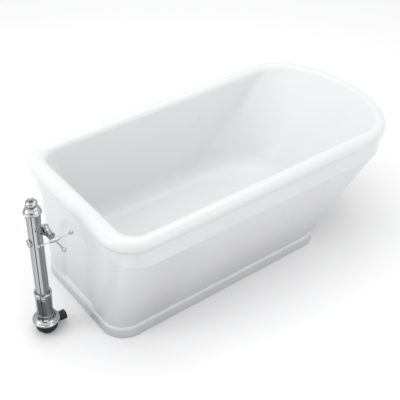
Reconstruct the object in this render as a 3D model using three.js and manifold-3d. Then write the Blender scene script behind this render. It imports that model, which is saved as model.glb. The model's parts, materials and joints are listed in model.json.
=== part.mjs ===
// Freestanding single-ended bathtub with a rolled rim, and its chrome standpipe waste.
// Millimetres, +Z up, the length along X with the drain end at -X, the floor at z = 0.
import * as THREE from 'three';
import { mergeVertices } from 'three/addons/utils/BufferGeometryUtils.js';
import Module from 'manifold-3d';

const wasm = await Module();
wasm.setup();

// ---------------------------------------------------------------- driving dimensions
const GAP = 0.3; // clearance between pieces that touch
const PIPE_SIDES = 24; // sides of the standpipe's turned pieces
const WASTE_SIDES = 20; // sides of the outlet's turned pieces
const STEM_SIDES = 12; // sides of thin rods

// Bath: overall sizes and the rolled rim
const BATH_HEAD_X = 800;
const BATH_DRAIN_X = -818;
const BATH_WIDTH = 826;
const RIM_TOP = 580;
const ROLL_RADIUS = 32;
const DRAIN_ROLL = 42; // half width of the wider roll at the drain end
const ROLL_Z = RIM_TOP - ROLL_RADIUS;
const SHELL = 7; // thickness of the moulded basin
const SKIRT_WALL = 6;

// Bath: inside
const FLOOR_Z = 130;
const FILLET_HEIGHT = 90;
const SIDE_DRAFT = 0.11; // inward run per unit of depth
const DRAIN_DRAFT = 0.12;
const HEAD_SLOPE = 0.9;
const FILLET_RUN = { side: 75, drain: 60, head: 150 };

// Bath: outside
const FASCIA_OUT = 16.5; // outset of the band below the roll from the roll's centre line
const FASCIA_DRAIN_X = -786;
const FASCIA_TOP = 515.6;
const FASCIA_BOTTOM = 438;
const FASCIA_STEP = 8;
const PLINTH_TOP = 54;
const PLINTH_HALF_WIDTH = 315;
const PLINTH_DRAIN_X = -797;
const PLINTH_HEAD_X = 360;
const NICHE_HALF_WIDTH = 118;
const NICHE_TOP = 408;
const NICHE_DEPTH = 9;

// Bath: supports under the floor
const BOARD_THICKNESS = 18;
const RAIL_SIZE = 26;
const RAIL_X = [-470, 40];
const FOOT_Y = 190;
const FOOT_PAD_RADIUS = 24;
const FOOT_STEM_RADIUS = 6;

// Bath: waste outlet
const DRAIN_X = -570;
const DRAIN_HOLE = 26;
const LINK_Z = 62;

// Standpipe
const PIPE_X = -980;
const PIPE_Y = -58;
const TUBE_RADIUS = 28.5;
const TUBE_BORE = 26;
const TUBE_TOP = 628;
const SLEEVE_TOP = 208;
const TEE_TOP = 56;
const PORT_Z = 34;
const PORT_LENGTH = 88;
const LIFT_CLEARANCE = 0.4;
const ROD_RADIUS = 4;
const BUTTON_TOP = 720;

// Side valve on the standpipe
const VALVE_Z = 520;
const VALVE_OUT = 45; // distance of the valve's axis from the tube's axis, towards the bath
const HANDLE_OUT = 73; // distance of the handle's centre in front of the valve's axis
const ARM_REACH = 72;
const BALL_RADIUS = 8.5;
const ARM_RADIUS = 3.2;

// ---------------------------------------------------------------- materials
function finish(color, roughness, metalness) {
  return () => new THREE.MeshStandardMaterial({ color, roughness, metalness });
}
const whiteGloss = finish(0xf4f6f8, 0.12, 0.0);
const porcelain = finish(0xfbfaf6, 0.1, 0.0);
const chrome = finish(0xd8dadd, 0.06, 1.0);
const blackPlastic = finish(0x17181a, 0.45, 0.0);
const rubber = finish(0x1c1c1c, 0.85, 0.0);
const brass = finish(0xb89a55, 0.3, 1.0);
const zincSteel = finish(0xa9adb0, 0.4, 1.0);
const greyPipe = finish(0xe3e4e2, 0.4, 0.0);
const board = finish(0xb89b72, 0.8, 0.0);

// ---------------------------------------------------------------- geometry helpers
function signedVolume(geometry) {
  const p = geometry.attributes.position;
  const order = geometry.index.array;
  const [a, b, c] = [new THREE.Vector3(), new THREE.Vector3(), new THREE.Vector3()];
  let total = 0;
  for (let i = 0; i < order.length; i += 3) {
    a.fromBufferAttribute(p, order[i]);
    b.fromBufferAttribute(p, order[i + 1]);
    c.fromBufferAttribute(p, order[i + 2]);
    total += a.dot(b.cross(c)) / 6;
  }
  return total;
}

// Merges shared corners, drops flat triangles and turns the faces outwards.
function closed(geometry) {
  geometry.deleteAttribute('normal');
  geometry.deleteAttribute('uv');
  const merged = mergeVertices(geometry, 1e-3);
  const kept = [];
  const order = merged.index.array;
  for (let i = 0; i < order.length; i += 3) {
    const [a, b, c] = [order[i], order[i + 1], order[i + 2]];
    if (a !== b && b !== c && a !== c) kept.push(a, b, c);
  }
  merged.setIndex(kept);
  if (signedVolume(merged) < 0) {
    for (let i = 0; i < kept.length; i += 3) [kept[i + 1], kept[i + 2]] = [kept[i + 2], kept[i + 1]];
    merged.setIndex(kept);
  }
  return merged;
}

function toSolid(geometry) {
  const g = closed(geometry);
  const vertProperties = new Float32Array(g.attributes.position.array);
  const triVerts = new Uint32Array(g.index.array);
  return new wasm.Manifold(new wasm.Mesh({ numProp: 3, vertProperties, triVerts }));
}

function toGeometry(solid) {
  const mesh = solid.getMesh();
  const geometry = new THREE.BufferGeometry();
  geometry.setAttribute('position', new THREE.BufferAttribute(new Float32Array(mesh.vertProperties), 3));
  geometry.setIndex(Array.from(mesh.triVerts));
  return geometry;
}

// A turned piece about Z from [radius, height] corners. A ring's outline closes on itself.
function turned(outline, segments = PIPE_SIDES, ring = true) {
  const points = outline.map(([r, z]) => new THREE.Vector2(r, z));
  if (ring) points.push(points[0].clone());
  const geometry = new THREE.LatheGeometry(points, segments);
  geometry.rotateX(Math.PI / 2);
  return closed(geometry);
}

function ring(outer, inner, low, high, segments = PIPE_SIDES) {
  return turned([[inner, low], [outer, low], [outer, high], [inner, high]], segments);
}

function rod(radius, low, high, segments = STEM_SIDES) {
  return turned([[0, low], [radius, low], [radius, high], [0, high]], segments, false);
}

function ball(radius, segments = 14) {
  return closed(new THREE.SphereGeometry(radius, segments, segments / 2));
}

function prism(shape, depth, curveSegments = 12) {
  return closed(new THREE.ExtrudeGeometry(shape, { depth, bevelEnabled: false, curveSegments }));
}

function hexagon(acrossCorners) {
  const shape = new THREE.Shape();
  for (let i = 0; i < 6; i += 1) {
    const a = (i * Math.PI) / 3;
    const [x, y] = [acrossCorners * Math.cos(a), acrossCorners * Math.sin(a)];
    if (i === 0) shape.moveTo(x, y);
    else shape.lineTo(x, y);
  }
  shape.closePath();
  return shape;
}

function hexNut(acrossCorners, bore, height) {
  const shape = hexagon(acrossCorners);
  const hole = new THREE.Path();
  hole.absarc(0, 0, bore, 0, 2 * Math.PI, true);
  shape.holes.push(hole);
  return prism(shape, height, 10);
}

const alongX = (geometry) => geometry.rotateY(Math.PI / 2);
const alongMinusY = (geometry) => geometry.rotateX(Math.PI / 2);

function mesh(name, geometry, material, position = [0, 0, 0]) {
  const m = new THREE.Mesh(geometry, material());
  m.name = name;
  m.position.set(...position);
  return m;
}

// ---------------------------------------------------------------- the bath's plan outline
// drain, head: x of the two ends; width: half width; corner: radius at the drain end;
// headX, headY: the two half axes of the elliptical corners at the head end.
const ROLL_LINE = {
  drain: BATH_DRAIN_X + DRAIN_ROLL,
  head: BATH_HEAD_X - ROLL_RADIUS,
  width: BATH_WIDTH / 2 - ROLL_RADIUS,
  corner: 110,
  headX: 245,
  headY: 378,
};

function outset(plan, d) {
  return {
    drain: plan.drain - d,
    head: plan.head + d,
    width: plan.width + d,
    corner: plan.corner + d,
    headX: plan.headX + d,
    headY: plan.headY + d,
  };
}

function blend(a, b, t) {
  return Object.fromEntries(Object.keys(a).map((key) => [key, a[key] + (b[key] - a[key]) * t]));
}

const COUNTS = { side: 3, head: 7, headFlat: 2, corner: 4, drainFlat: 2 };

// One level ring of the bath, anticlockwise from above, starting on the near side.
function outline(plan, z) {
  const { drain, head, width, corner, headX, headY } = plan;
  const points = [];
  const line = (x0, y0, x1, y1, n) => {
    for (let i = 0; i < n; i += 1) {
      points.push(new THREE.Vector3(x0 + ((x1 - x0) * i) / n, y0 + ((y1 - y0) * i) / n, z));
    }
  };
  const arc = (cx, cy, rx, ry, start, n) => {
    for (let i = 0; i < n; i += 1) {
      const a = start + ((Math.PI / 2) * i) / n;
      points.push(new THREE.Vector3(cx + rx * Math.cos(a), cy + ry * Math.sin(a), z));
    }
  };
  line(drain + corner, -width, head - headX, -width, COUNTS.side);
  arc(head - headX, -width + headY, headX, headY, -Math.PI / 2, COUNTS.head);
  line(head, -width + headY, head, width - headY, COUNTS.headFlat);
  arc(head - headX, width - headY, headX, headY, 0, COUNTS.head);
  line(head - headX, width, drain + corner, width, COUNTS.side);
  arc(drain + corner, width - corner, corner, corner, Math.PI / 2, COUNTS.corner);
  line(drain, width - corner, drain, -width + corner, COUNTS.drainFlat);
  arc(drain + corner, -width + corner, corner, corner, Math.PI, COUNTS.corner);
  return points;
}

// Skins a list of level rings and closes both ends with a fan.
function loft(rings) {
  const n = rings[0].length;
  const positions = rings.flat().flatMap((p) => [p.x, p.y, p.z]);
  const order = [];
  for (let r = 0; r + 1 < rings.length; r += 1) {
    for (let i = 0; i < n; i += 1) {
      const j = (i + 1) % n;
      const [a, b, c, d] = [r * n + i, r * n + j, (r + 1) * n + j, (r + 1) * n + i];
      order.push(a, b, c, a, c, d);
    }
  }
  const fan = (start, flip) => {
    const centre = new THREE.Vector3();
    for (let i = 0; i < n; i += 1) centre.add(rings[start / n][i]);
    centre.divideScalar(n);
    const apex = positions.length / 3;
    positions.push(centre.x, centre.y, centre.z);
    for (let i = 0; i < n; i += 1) {
      const j = (i + 1) % n;
      if (flip) order.push(apex, start + j, start + i);
      else order.push(apex, start + i, start + j);
    }
  };
  fan(0, true);
  fan((rings.length - 1) * n, false);
  const geometry = new THREE.BufferGeometry();
  geometry.setAttribute('position', new THREE.Float32BufferAttribute(positions, 3));
  geometry.setIndex(order);
  return closed(geometry);
}

// ---------------------------------------------------------------- basin
// Plan of the basin's inside at height z: the wall's slope, and above it the roll it runs into.
function innerWall(z) {
  const depth = ROLL_Z - z;
  const inset = (slope) => {
    const run = Math.hypot(1, slope);
    if (depth > (-ROLL_RADIUS * slope) / run) return ROLL_RADIUS * run + slope * depth;
    return Math.sqrt(Math.max(ROLL_RADIUS ** 2 - depth ** 2, 0));
  };
  const below = Math.max(depth, 0);
  const widening = (DRAIN_ROLL / ROLL_RADIUS - 1) * inset(0);
  return {
    drain: ROLL_LINE.drain + inset(DRAIN_DRAFT) + widening,
    head: ROLL_LINE.head - inset(HEAD_SLOPE),
    width: ROLL_LINE.width - inset(SIDE_DRAFT),
    corner: ROLL_LINE.corner - inset(0) + 0.09 * below,
    headX: ROLL_LINE.headX - inset(0) + 0.35 * below,
    headY: ROLL_LINE.headY - inset(0) - 0.3 * below,
  };
}

function floorEdge() {
  const wall = innerWall(FLOOR_Z);
  return {
    drain: wall.drain + FILLET_RUN.drain,
    head: wall.head - FILLET_RUN.head,
    width: wall.width - FILLET_RUN.side,
    corner: wall.corner - 30,
    headX: wall.headX - 60,
    headY: wall.headY - 20,
  };
}

// The fillet between wall and floor is a parabola with its control point where the two meet.
function filletRing(t) {
  const start = innerWall(FLOOR_Z + FILLET_HEIGHT);
  const control = innerWall(FLOOR_Z);
  const plan = blend(blend(start, control, t), blend(control, floorEdge(), t), t);
  return { plan, z: FLOOR_Z + FILLET_HEIGHT * (1 - t) ** 2 };
}

function basinRings() {
  const rings = [];
  const filletSteps = 3;
  const wallSteps = 2;
  const rollSteps = 3;
  const wallLow = FLOOR_Z + FILLET_HEIGHT;
  for (let i = filletSteps; i > 0; i -= 1) {
    const { plan, z } = filletRing(i / filletSteps);
    rings.push(outline(plan, z));
  }
  for (let i = 0; i < wallSteps; i += 1) {
    const z = wallLow + ((ROLL_Z - wallLow) * i) / wallSteps;
    rings.push(outline(innerWall(z), z));
  }
  for (let i = 0; i < rollSteps; i += 1) {
    const z = ROLL_Z + ROLL_RADIUS * Math.sin((Math.PI / 2 / rollSteps) * i);
    rings.push(outline(innerWall(z), z));
  }
  for (let i = 0; i <= 2 * rollSteps; i += 1) {
    const a = Math.PI / 2 - (Math.PI / 2 / rollSteps) * i;
    const plan = outset(ROLL_LINE, ROLL_RADIUS * Math.cos(a));
    plan.drain = ROLL_LINE.drain - DRAIN_ROLL * Math.cos(a);
    rings.push(outline(plan, ROLL_Z + ROLL_RADIUS * Math.sin(a)));
  }
  for (let i = wallSteps; i >= 0; i -= 1) {
    const z = wallLow + ((ROLL_Z - ROLL_RADIUS - SHELL - wallLow) * i) / wallSteps;
    rings.push(outline(outset(innerWall(z), SHELL), z));
  }
  for (let i = 1; i <= filletSteps; i += 1) {
    const { plan, z } = filletRing(i / filletSteps);
    rings.push(outline(outset(plan, SHELL * (1 - (0.6 * i) / filletSteps)), z - SHELL));
  }
  return rings;
}

function basin() {
  const hole = rod(DRAIN_HOLE, FLOOR_Z - 30, FLOOR_Z + 30, WASTE_SIDES);
  hole.translate(DRAIN_X, 0, 0);
  return toGeometry(toSolid(loft(basinRings())).subtract(toSolid(hole)));
}

// ---------------------------------------------------------------- skirt
const FASCIA = { ...outset(ROLL_LINE, FASCIA_OUT), drain: FASCIA_DRAIN_X };
const BODY_TOP = {
  drain: FASCIA.drain + FASCIA_STEP,
  head: FASCIA.head - FASCIA_STEP,
  width: FASCIA.width - FASCIA_STEP,
  corner: FASCIA.corner,
  headX: FASCIA.headX - FASCIA_STEP,
  headY: FASCIA.headY - FASCIA_STEP,
};
const PLINTH = {
  drain: PLINTH_DRAIN_X,
  head: PLINTH_HEAD_X,
  width: PLINTH_HALF_WIDTH,
  corner: 105,
  headX: 90,
  headY: 90,
};
const BODY_BOTTOM = {
  drain: PLINTH.drain + 5,
  head: PLINTH.head - 8,
  width: PLINTH.width - 5,
  corner: 102,
  headX: 92,
  headY: 92,
};

// The skirt's solid shape, shrunk by inset, from bottom to top.
function skirtShape(inset, bottom, top) {
  const bodySteps = 2;
  const rings = [
    outline(outset(PLINTH, -inset), bottom),
    outline(outset(PLINTH, -inset), PLINTH_TOP - 5),
    outline(outset(PLINTH, -inset - 3), PLINTH_TOP),
  ];
  for (let i = 0; i <= bodySteps; i += 1) {
    const t = i / bodySteps;
    const z = PLINTH_TOP + 4 + (FASCIA_BOTTOM - 12 - PLINTH_TOP) * t;
    rings.push(outline(outset(blend(BODY_BOTTOM, BODY_TOP, t), -inset), z));
  }
  rings.push(outline(outset(FASCIA, -inset), FASCIA_BOTTOM));
  rings.push(outline(outset(FASCIA, -inset), top));
  return loft(rings);
}

// The arched recess in the drain end, grown by the wall thickness for the inner skin.
function nicheCutter(grow) {
  const half = NICHE_HALF_WIDTH + grow;
  const crown = NICHE_TOP + grow;
  const low = PLINTH_TOP + 4.5 - grow;
  const radius = 92 + grow;
  const shape = new THREE.Shape();
  shape.moveTo(-half, low);
  shape.lineTo(half, low);
  shape.lineTo(half, crown - radius);
  shape.absarc(half - radius, crown - radius, radius, 0, Math.PI / 2, false);
  shape.lineTo(-half + radius, crown);
  shape.absarc(-half + radius, crown - radius, radius, Math.PI / 2, Math.PI, false);
  shape.closePath();
  const reach = 60;
  const cutter = prism(shape, reach, 6);
  cutter.rotateX(Math.PI / 2);
  cutter.rotateZ(Math.PI / 2);
  cutter.translate(NICHE_DEPTH + grow - reach, 0, -FASCIA_BOTTOM);
  cutter.rotateY((BODY_TOP.drain - BODY_BOTTOM.drain) / (FASCIA_BOTTOM - PLINTH_TOP));
  cutter.translate(BODY_TOP.drain, 0, FASCIA_BOTTOM);
  return cutter;
}

function skirt() {
  const outer = toSolid(skirtShape(0, 0, FASCIA_TOP)).subtract(toSolid(nicheCutter(0)));
  const hollow = toSolid(skirtShape(SKIRT_WALL, -20, FASCIA_TOP + 20));
  return toGeometry(outer.subtract(hollow.subtract(toSolid(nicheCutter(SKIRT_WALL)))));
}

// ---------------------------------------------------------------- supports
const BOARD_TOP = FLOOR_Z - SHELL - GAP;
const RAIL_TOP = BOARD_TOP - BOARD_THICKNESS - GAP;

function baseBoard() {
  const edge = floorEdge();
  const shape = new THREE.Shape();
  const points = outline({ ...edge, drain: edge.drain + 105 }, 0);
  points.forEach((p, i) => (i === 0 ? shape.moveTo(p.x, p.y) : shape.lineTo(p.x, p.y)));
  shape.closePath();
  const geometry = prism(shape, BOARD_THICKNESS);
  geometry.translate(0, 0, BOARD_TOP - BOARD_THICKNESS);
  return geometry;
}

function rail() {
  const length = 2 * FOOT_Y + 70;
  const bar = new THREE.BoxGeometry(RAIL_SIZE, length, RAIL_SIZE);
  const trough = new THREE.BoxGeometry(RAIL_SIZE - 5, length + 2, RAIL_SIZE);
  trough.translate(0, 0, -2.5);
  let solid = toSolid(bar).subtract(toSolid(trough));
  for (const side of [-1, 1]) {
    const hole = rod(FOOT_STEM_RADIUS + GAP, -RAIL_SIZE, RAIL_SIZE);
    hole.translate(0, side * FOOT_Y, 0);
    solid = solid.subtract(toSolid(hole));
  }
  return toGeometry(solid);
}

function foot() {
  const stemTop = RAIL_TOP - GAP;
  const outlinePoints = [
    [0, 0],
    [FOOT_PAD_RADIUS, 0],
    [FOOT_PAD_RADIUS, 5],
    [FOOT_STEM_RADIUS + 4, 13],
    [FOOT_STEM_RADIUS, 15],
    [FOOT_STEM_RADIUS, stemTop],
    [0, stemTop],
  ];
  return turned(outlinePoints, STEM_SIDES, false);
}

function supports() {
  const group = new THREE.Group();
  group.add(mesh('base_board', baseBoard(), board));
  const nutZ = RAIL_TOP - RAIL_SIZE - GAP - 8;
  RAIL_X.forEach((x, i) => {
    const end = i === 0 ? 'drain' : 'head';
    group.add(mesh(`cross_rail_${end}`, rail(), zincSteel, [x, 0, RAIL_TOP - RAIL_SIZE / 2]));
    for (const side of [-1, 1]) {
      const label = `${end}_${side < 0 ? 'near' : 'far'}`;
      group.add(mesh(`levelling_foot_${label}`, foot(), zincSteel, [x, side * FOOT_Y, 0]));
      const nut = hexNut(11, FOOT_STEM_RADIUS + GAP, 8);
      group.add(mesh(`foot_locknut_${label}`, nut, zincSteel, [x, side * FOOT_Y, nutZ]));
    }
  });
  return group;
}

// ---------------------------------------------------------------- the bath's own waste outlet
function drainFlange() {
  const r = DRAIN_HOLE - GAP;
  const top = FLOOR_Z + GAP;
  const points = [
    [r - 5, FLOOR_Z - 46],
    [r, FLOOR_Z - 46],
    [r, top],
    [35, top],
    [34, top + 2.5],
    [24, top + 4],
    [r - 5, top - 1],
  ];
  return turned(points, WASTE_SIDES);
}

function drainStrainer() {
  const radius = 20;
  let solid = toSolid(turned([[0, 0], [radius, 0], [radius, 2], [8, 3.5], [0, 3.5]], WASTE_SIDES, false));
  const holes = 6;
  for (let i = 0; i < holes; i += 1) {
    const a = (i * 2 * Math.PI) / holes;
    const slot = rod(4, -5, 8, 8);
    slot.translate(12.5 * Math.cos(a), 12.5 * Math.sin(a), 0);
    solid = solid.subtract(toSolid(slot));
  }
  return toGeometry(solid);
}

// Elbow under the floor that turns the outlet towards the drain end.
function drainElbow() {
  const outer = 30;
  const bore = DRAIN_HOLE + 0.2;
  const top = FLOOR_Z - SHELL - 14;
  const wall = toSolid(rod(outer, LINK_Z - 24, top, WASTE_SIDES));
  const branch = alongX(rod(22, -58, 0, WASTE_SIDES));
  branch.translate(0, 0, LINK_Z);
  const cup = toSolid(rod(bore, LINK_Z - 19, top + 5, WASTE_SIDES));
  const way = alongX(rod(17, -70, 0, WASTE_SIDES));
  way.translate(0, 0, LINK_Z);
  return toGeometry(wall.add(toSolid(branch)).subtract(cup).subtract(toSolid(way)));
}

function bathWaste() {
  const group = new THREE.Group();
  group.position.x = DRAIN_X;
  const under = FLOOR_Z - SHELL;
  group.add(mesh('drain_flange', drainFlange(), chrome));
  group.add(mesh('drain_strainer', drainStrainer(), chrome, [0, 0, FLOOR_Z - 8]));
  group.add(mesh('drain_gasket', ring(36, DRAIN_HOLE, under - GAP - 3, under - GAP, WASTE_SIDES), rubber));
  const nut = hexNut(40, DRAIN_HOLE + 3 * GAP, 8);
  group.add(mesh('drain_backnut', nut, brass, [0, 0, under - 2 * GAP - 11]));
  group.add(mesh('drain_elbow', drainElbow(), greyPipe));
  const tail = alongX(ring(20, 17, -104, -58 - GAP, WASTE_SIDES));
  group.add(mesh('drain_tailpiece', tail, greyPipe, [0, 0, LINK_Z]));
  const coupling = alongX(ring(27, 22 + GAP, -74, -46, WASTE_SIDES));
  group.add(mesh('drain_coupling', coupling, greyPipe, [0, 0, LINK_Z]));
  return group;
}

// ---------------------------------------------------------------- standpipe: fixed pieces
function baseTee() {
  const chamber = 26;
  const seatZ = 8;
  const body = turned([[0, 0], [31, 0], [31, 15], [46, 19], [46, TEE_TOP], [0, TEE_TOP]], PIPE_SIDES, false);
  const port = alongX(rod(19, 0, PORT_LENGTH - 12, PIPE_SIDES));
  port.translate(0, 0, PORT_Z);
  const mouth = alongX(rod(21, PORT_LENGTH - 24, PORT_LENGTH, PIPE_SIDES));
  mouth.translate(0, 0, PORT_Z);
  const way = alongX(rod(15, 0, PORT_LENGTH + 5, PIPE_SIDES));
  way.translate(0, 0, PORT_Z);
  const recess = alongX(rod(17.5, PORT_LENGTH - 8, PORT_LENGTH + 5, PIPE_SIDES));
  recess.translate(0, 0, PORT_Z);
  return toGeometry(
    toSolid(body)
      .add(toSolid(port))
      .add(toSolid(mouth))
      .subtract(toSolid(rod(chamber, seatZ, TEE_TOP + 5, PIPE_SIDES)))
      .subtract(toSolid(rod(15, -5, seatZ + 1, PIPE_SIDES)))
      .subtract(toSolid(way))
      .subtract(toSolid(recess)),
  );
}

function flangeCollar() {
  const low = TEE_TOP + GAP;
  const bore = 35;
  return turned(
    [
      [bore, low],
      [57, low],
      [58, low + 3],
      [57, low + 8],
      [51, low + 11],
      [50, low + 15],
      [44, low + 19],
      [42.5, low + 24],
      [39, low + 31],
      [37, low + 42],
      [bore, low + 46],
    ],
  );
}

function lowerSleeve() {
  const low = TEE_TOP + GAP;
  return turned([[31, low], [34.6, low], [34.6, SLEEVE_TOP], [31, SLEEVE_TOP]]);
}

function sleeveNut() {
  const low = SLEEVE_TOP + GAP;
  const bore = TUBE_RADIUS + GAP;
  const points = [
    [bore, low],
    [36.2, low],
    [37.2, low + 2],
    [37.2, low + 7],
    [35, low + 9.5],
    [bore, low + 8],
  ];
  return turned(points);
}

function mainTube() {
  const low = 100;
  return turned(
    [
      [TUBE_BORE, low],
      [TUBE_RADIUS, low],
      [TUBE_RADIUS, TUBE_TOP - 46],
      [TUBE_RADIUS + 1, TUBE_TOP - 26],
      [TUBE_RADIUS + 4.5, TUBE_TOP],
      [TUBE_BORE + 3, TUBE_TOP],
      [TUBE_BORE, TUBE_TOP - 26],
    ],
  );
}

function domeCap() {
  const low = TUBE_TOP + GAP;
  const bore = ROD_RADIUS + LIFT_CLEARANCE;
  return turned(
    [
      [31, low],
      [36, low],
      [37.5, low + 2.5],
      [36, low + 6],
      [34, low + 13],
      [28, low + 22],
      [19, low + 28],
      [12, low + 30],
      [bore, low + 30],
      [bore, low + 26],
      [17, low + 24],
      [25, low + 17],
      [30, low + 8],
    ],
  );
}

function guideBall() {
  const bore = ROD_RADIUS + LIFT_CLEARANCE;
  const centre = TUBE_TOP + 44;
  const radius = 24;
  const squash = 0.62;
  const points = [];
  const steps = 6;
  const start = Math.asin(12 / radius);
  for (let i = 0; i <= steps; i += 1) {
    const a = start + ((Math.PI - 2 * start) * i) / steps;
    points.push([radius * Math.sin(a), centre - squash * radius * Math.cos(a)]);
  }
  const low = points[0][1];
  const high = points[steps][1];
  return turned([[bore, low], ...points, [bore, high]]);
}

function blankingPlug() {
  const points = [[0, -12], [15, -12], [15, 1], [17.5, 2], [17, 5.5], [13, 7], [0, 7]];
  const disc = alongX(turned(points, PIPE_SIDES, false));
  disc.rotateZ(Math.PI);
  disc.translate(-TUBE_RADIUS, 0, 0);
  const tube = rod(TUBE_RADIUS + GAP, -40, 40, PIPE_SIDES);
  return toGeometry(toSolid(disc).subtract(toSolid(tube)));
}

function standpipeFixed() {
  const group = new THREE.Group();
  group.add(mesh('base_tee', baseTee(), blackPlastic));
  const seal = alongX(ring(17.2, 14, PORT_LENGTH - 7.7, PORT_LENGTH + 1.5, PIPE_SIDES));
  group.add(mesh('port_seal', seal, rubber, [0, 0, PORT_Z]));
  group.add(mesh('flange_collar', flangeCollar(), chrome));
  group.add(mesh('lower_sleeve', lowerSleeve(), chrome));
  group.add(mesh('sleeve_seal', ring(31 - GAP, TUBE_RADIUS + GAP, SLEEVE_TOP - 9, SLEEVE_TOP), rubber));
  group.add(mesh('sleeve_nut', sleeveNut(), chrome));
  group.add(mesh('main_tube', mainTube(), chrome));
  group.add(mesh('dome_cap', domeCap(), chrome));
  group.add(mesh('guide_ball', guideBall(), chrome));
  group.add(mesh('blanking_plug', blankingPlug(), chrome, [0, 0, VALVE_Z - 32]));
  return group;
}

// ---------------------------------------------------------------- standpipe: lifting plunger
const OVERFLOW_TOP = 560;

function overflowBridge() {
  const low = OVERFLOW_TOP + GAP;
  let solid = toSolid(rod(20, low, low + 5, PIPE_SIDES));
  for (const side of [-1, 1]) {
    const opening = rod(6.2, low - 5, low + 10);
    opening.translate(0, side * 11.5, 0);
    solid = solid.subtract(toSolid(opening));
  }
  return toGeometry(solid);
}

function porcelainButton() {
  const top = BUTTON_TOP;
  const points = [
    [0, top - 24],
    [7, top - 24],
    [8, top - 17],
    [17, top - 14],
    [20.5, top - 9],
    [20.5, top - 5.5],
    [17, top - 2],
    [9, top],
    [0, top],
  ];
  return turned(points, PIPE_SIDES, false);
}

function plunger() {
  const group = new THREE.Group();
  const bridgeTop = OVERFLOW_TOP + GAP + 5;
  const ferruleLow = BUTTON_TOP - 24 - GAP - 5;
  group.add(mesh('overflow_tube', ring(20, 18, 18, OVERFLOW_TOP), brass));
  group.add(mesh('overflow_bridge', overflowBridge(), brass));
  group.add(mesh('lift_rod', rod(ROD_RADIUS, bridgeTop + GAP, ferruleLow - GAP), chrome));
  group.add(mesh('button_ferrule', rod(9, ferruleLow, ferruleLow + 5, PIPE_SIDES), chrome));
  group.add(mesh('porcelain_button', porcelainButton(), porcelain));
  group.add(mesh('plunger_plug', ring(22.5, 16, 12.5, 17.7), brass));
  group.add(mesh('plunger_seal', ring(22, 16.5, 8.4, 12.2), rubber));
  return group;
}

// ---------------------------------------------------------------- standpipe: side valve
const SPINDLE_RADIUS = 5.5;
const BOSS_REACH = 30;

// The valve's body: an upright barrel saddled on the tube, with a boss towards -Y.
function valveBody() {
  const barrel = turned([[0, -23], [12, -23], [14, -20], [14, 20], [12, 23], [0, 23]], PIPE_SIDES, false);
  const boss = alongMinusY(rod(14.5, 0, BOSS_REACH, PIPE_SIDES));
  const bore = alongMinusY(rod(SPINDLE_RADIUS + GAP, -4, BOSS_REACH + 6, PIPE_SIDES));
  const tube = rod(TUBE_RADIUS + GAP, -60, 60, PIPE_SIDES);
  tube.translate(-VALVE_OUT, 0, 0);
  return toGeometry(
    toSolid(barrel).add(toSolid(boss)).subtract(toSolid(bore)).subtract(toSolid(tube)),
  );
}

function valveHandle() {
  const group = new THREE.Group();
  group.position.set(0, -HANDLE_OUT, 0);
  const hubRadius = 8.5;
  const hubHalf = 20;
  const spindle = alongMinusY(rod(SPINDLE_RADIUS, -HANDLE_OUT - 3.5, -hubRadius - GAP));
  group.add(mesh('valve_spindle', spindle, chrome));
  const hubShape = turned(
    [[0, -hubHalf], [6.5, -hubHalf], [hubRadius, -17], [hubRadius, 17], [6.5, hubHalf], [0, hubHalf]],
    WASTE_SIDES,
    false,
  );
  group.add(mesh('handle_hub', alongX(hubShape), chrome));
  const directions = [
    ['bath_side', alongX, hubHalf, 1],
    ['outer_side', alongX, hubHalf, -1],
    ['front', alongMinusY, hubRadius, 1],
  ];
  for (const [label, turn, start, sign] of directions) {
    const arm = turn(rod(ARM_RADIUS, start + GAP, ARM_REACH - BALL_RADIUS - GAP));
    if (sign < 0) arm.rotateY(Math.PI);
    group.add(mesh(`handle_arm_${label}`, arm, chrome));
    const tip = turn(ball(BALL_RADIUS).translate(0, 0, ARM_REACH));
    if (sign < 0) tip.rotateY(Math.PI);
    group.add(mesh(`handle_ball_${label}`, tip, chrome));
  }
  return group;
}

function sideValve() {
  const group = new THREE.Group();
  group.position.set(VALVE_OUT, 0, VALVE_Z);
  group.add(mesh('valve_body', valveBody(), chrome));
  const nut = alongMinusY(hexNut(17, SPINDLE_RADIUS + 2 * GAP, 18));
  group.add(mesh('valve_gland_nut', nut, chrome, [0, -BOSS_REACH - GAP, 0]));
  group.add(valveHandle());
  return group;
}

// ---------------------------------------------------------------- assembly
function standpipe() {
  const group = new THREE.Group();
  group.position.set(PIPE_X, PIPE_Y, 0);
  group.add(standpipeFixed(), plunger(), sideValve());
  return group;
}

function bath() {
  const group = new THREE.Group();
  group.add(mesh('basin', basin(), whiteGloss));
  group.add(mesh('skirt', skirt(), whiteGloss));
  group.add(supports(), bathWaste());
  return group;
}

// The origin is the middle of the whole object's footprint, on the floor.
const FLANGE_REACH = 58;
const LOW_X = PIPE_X - FLANGE_REACH;
const HIGH_X = BATH_HEAD_X;
const assembly = new THREE.Group();
assembly.position.x = -(LOW_X + HIGH_X) / 2;
assembly.add(bath(), standpipe());

export default assembly;
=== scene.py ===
"""Looks of a freestanding single-ended bath and its floor-standing chrome waste.

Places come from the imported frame, and the bath's outlines repeat the CAD's own sizes.
Lengths are metres, +Z up.
"""
import json
import math
from collections import namedtuple

import bmesh
import bpy
from mathutils import Matrix, Vector


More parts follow.
